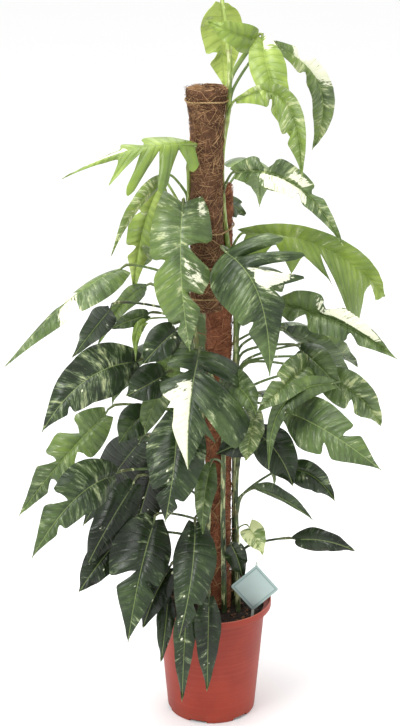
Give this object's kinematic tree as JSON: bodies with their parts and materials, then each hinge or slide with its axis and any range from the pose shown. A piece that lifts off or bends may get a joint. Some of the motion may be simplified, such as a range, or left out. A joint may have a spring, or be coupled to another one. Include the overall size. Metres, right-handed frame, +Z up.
{
  "type": "potted epipremnum pinnatum",
  "caption": "Variegated climbing epipremnum pinnatum on two tied coir poles in a round terracotta-coloured nursery pot.",
  "frame": {"origin": "centre of the pot's flat base, on the surface that the pot stands on", "axes": "+Z up along the pot and the poles, -Y towards the viewer of the picture, +X to the viewer's right, where the tallest stem climbs"},
  "size_m": [0.7291, 0.5337, 1.4294],
  "materials": {
    "pot_plastic": "matte terracotta-orange injection-moulded plastic",
    "soil": "dark crumbly potting soil",
    "coir": "brown coconut fibre, matted",
    "wood": "plain round stake",
    "twine": "natural fibre twine",
    "card": "pale aqua matt laminated card, blank",
    "stake": "grey plastic stake",
    "foliage": "living leaves and stems, glossy green with cream-white sectors and marbling"
  },
  "bodies": {
    "root": {"pot": "pot_plastic", "soil": "soil", "coir_pole_lower": "coir", "core_lower": "wood", "coir_pole_upper": "coir", "core_upper": "wood", "twine_top": "twine", "twine_pair_1": "twine", "twine_pair_2": "twine", "twine_pair_3": "twine", "label_card": "card", "label_stake": "stake", "stem_right": "foliage", "stem_left": "foliage", "stem_front": "foliage", "stem_low_left": "foliage", "stem_low_right": "foliage", "stem_back": "foliage"}
  },
  "joints": []
}
